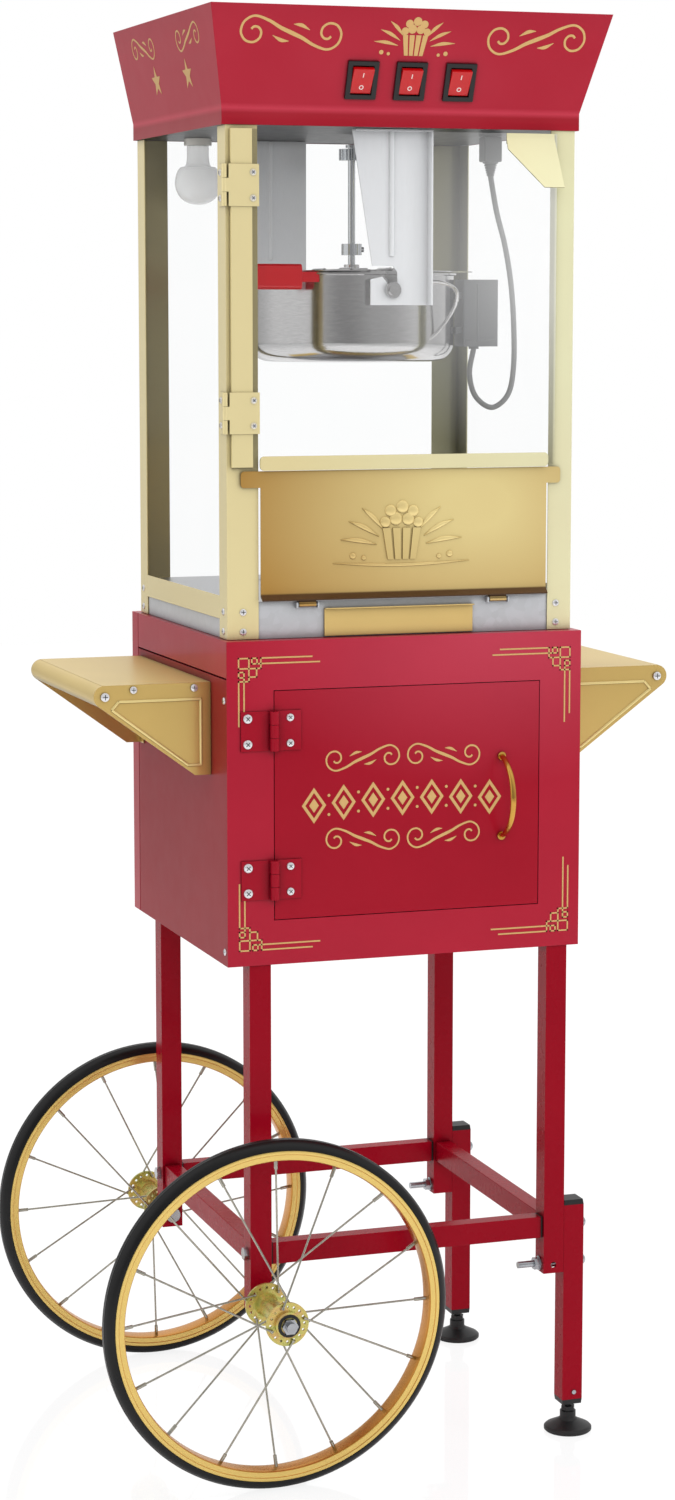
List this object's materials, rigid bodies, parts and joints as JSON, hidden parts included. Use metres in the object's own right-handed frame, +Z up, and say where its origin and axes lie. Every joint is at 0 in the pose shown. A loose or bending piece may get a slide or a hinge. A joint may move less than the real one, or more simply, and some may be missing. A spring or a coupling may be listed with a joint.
{
  "type": "popcorn cart",
  "caption": "Glass popcorn popper with tilting kettle on a steel cabinet cart with side shelves, legs with levelling feet and large spoked wheels on one side.",
  "frame": {"origin": "on the floor, at the centre of the whole cart's footprint box", "axes": "+Z up, -Y the front with the doors and switches, -X the side with the wheels"},
  "size_m": [0.7294, 0.628, 1.658],
  "materials": {
    "black_plastic": "matte",
    "brass_sheet": "satin gold",
    "bulb_glass": "frosted",
    "cabinet_red": "gloss",
    "cable_black": "matte",
    "ceiling_dark": "satin",
    "ceramic_white": "glazed ceramic",
    "clear_glass": "clear",
    "door_red": "gloss",
    "frame_red": "gloss",
    "galvanised": "matt spangle",
    "gear_black": "satin",
    "handle_gold": "polished",
    "motor_grey": "satin",
    "polished_steel": "polished",
    "red_grip": "gloss",
    "rim_gold": "satin",
    "rubber_black": "matte",
    "screw_steel": "polished",
    "spoke_steel": "polished",
    "stainless": "satin",
    "switch_black": "satin",
    "switch_red": "gloss",
    "terminal_grey": "satin",
    "zinc_steel": "satin",
    "zinc_yellow": "yellow zinc, satin"
  },
  "bodies": {
    "cart": {"legs": "frame_red", "lower_rails": "frame_red", "stub_legs": "frame_red", "tube_caps": "black_plastic", "frame_bolts": "zinc_steel", "wheel_axles": "zinc_steel", "cabinet_floor": "cabinet_red", "cabinet_front": "cabinet_red", "cabinet_left": "cabinet_red", "cabinet_right": "cabinet_red", "cabinet_back": "cabinet_red", "cabinet_top": "cabinet_red", "cabinet_hinge_leaves": "door_red", "shelf_left": "brass_sheet", "shelf_right": "brass_sheet", "shelf_brackets": "brass_sheet", "base_pan": "galvanised", "base_side_rails": "brass_sheet", "corner_posts": "brass_sheet", "deck_plate": "stainless", "fixed_glass": "clear_glass", "glass_hinge_plates": "brass_sheet", "marquee_shell": "cabinet_red", "ceiling_plate": "ceiling_dark", "switch_bezels": "switch_black", "kettle_hangers": "polished_steel", "gear_motor": "motor_grey", "power_cable": "cable_black", "lamp_socket": "ceramic_white", "light_bulb": "bulb_glass", "case_screws": "screw_steel"},
    "front_wheel": {"tyre_front": "rubber_black", "rim_front": "rim_gold", "spokes_front": "spoke_steel", "hub_front": "zinc_yellow"},
    "rear_wheel": {"tyre_rear": "rubber_black", "rim_rear": "rim_gold", "spokes_rear": "spoke_steel", "hub_rear": "zinc_yellow"},
    "cabinet_door": {"cabinet_door": "door_red", "door_handle": "handle_gold", "door_hinge_leaves": "door_red"},
    "glass_door": {"glass_door_pane": "clear_glass", "glass_door_stile": "brass_sheet", "glass_door_trim": "brass_sheet", "glass_hinge_leaves": "brass_sheet"},
    "drop_panel": {"drop_panel": "brass_sheet"},
    "crumb_tray": {"crumb_tray": "brass_sheet"},
    "kettle": {"kettle_pot": "stainless", "kettle_handle": "red_grip", "terminal_box": "terminal_grey"},
    "lid_left": {"kettle_lid_left": "stainless"},
    "lid_right": {"kettle_lid_right": "stainless"},
    "stirrer": {"stirrer": "polished_steel"},
    "drive": {"drive_gear": "gear_black"},
    "rocker_left": {"rocker_left": "switch_red"},
    "rocker_middle": {"rocker_middle": "switch_red"},
    "rocker_right": {"rocker_right": "switch_red"},
    "foot_front": {"foot_front": "black_plastic"},
    "foot_rear": {"foot_rear": "black_plastic"}
  },
  "joints": [
    {"name": "front_wheel_spin", "type": "hinge", "parent": "cart", "child": "front_wheel", "pos_m": [-0.16155, -0.2565, 0.2032], "axis": [0, 1, 0], "continuous": true},
    {"name": "rear_wheel_spin", "type": "hinge", "parent": "cart", "child": "rear_wheel", "pos_m": [-0.16155, 0.2565, 0.2032], "axis": [0, 1, 0], "continuous": true},
    {"name": "cabinet_door_hinge", "type": "hinge", "parent": "cart", "child": "cabinet_door", "pos_m": [-0.14625, -0.206, 0.776], "axis": [0, 0, -1], "range_deg": [0, 110]},
    {"name": "glass_door_hinge", "type": "hinge", "parent": "cart", "child": "glass_door", "pos_m": [-0.19675, -0.1875, 1.34], "axis": [0, 0, -1], "range_deg": [0, 110]},
    {"name": "drop_panel_hinge", "type": "hinge", "parent": "cart", "child": "drop_panel", "pos_m": [0.01375, -0.1846, 1.001], "axis": [1, 0, 0], "range_deg": [0, 90]},
    {"name": "crumb_tray_slide", "type": "slide", "parent": "cart", "child": "crumb_tray", "axis": [0, -1, 0], "range_m": [0, 0.28]},
    {"name": "kettle_tilt", "type": "hinge", "parent": "cart", "child": "kettle", "pos_m": [0.01575, 0, 1.352], "axis": [0, -1, 0], "range_deg": [0, 90]},
    {"name": "lid_left_hinge", "type": "hinge", "parent": "kettle", "child": "lid_left", "pos_m": [-0.00775, 0, 1.376], "axis": [0, 1, 0], "range_deg": [0, 70]},
    {"name": "lid_right_hinge", "type": "hinge", "parent": "kettle", "child": "lid_right", "pos_m": [0.03925, 0, 1.376], "axis": [0, -1, 0], "range_deg": [0, 70]},
    {"name": "stirrer_spin", "type": "hinge", "parent": "kettle", "child": "stirrer", "pos_m": [0.01575, 0, 1.4], "axis": [0, 0, 1], "continuous": true},
    {"name": "drive_spin", "type": "hinge", "parent": "cart", "child": "drive", "pos_m": [0.04305, 0, 1.51], "axis": [0, 0, 1], "continuous": true},
    {"name": "rocker_left_tip", "type": "hinge", "parent": "cart", "child": "rocker_left", "pos_m": [-0.04025, -0.19473, 1.58185], "axis": [-1, 0, 0], "range_deg": [0, 14]},
    {"name": "rocker_middle_tip", "type": "hinge", "parent": "cart", "child": "rocker_middle", "pos_m": [0.01675, -0.19473, 1.58185], "axis": [-1, 0, 0], "range_deg": [0, 14]},
    {"name": "rocker_right_tip", "type": "hinge", "parent": "cart", "child": "rocker_right", "pos_m": [0.07525, -0.19473, 1.58185], "axis": [-1, 0, 0], "range_deg": [0, 14]},
    {"name": "foot_front_screw", "type": "slide", "parent": "cart", "child": "foot_front", "axis": [0, 0, -1], "range_m": [0, 0.02]},
    {"name": "foot_rear_screw", "type": "slide", "parent": "cart", "child": "foot_rear", "axis": [0, 0, -1], "range_m": [0, 0.02]}
  ],
  "couplings": [
    {"joint": "drive_spin", "follows": "stirrer_spin", "ratio": -1}
  ]
}
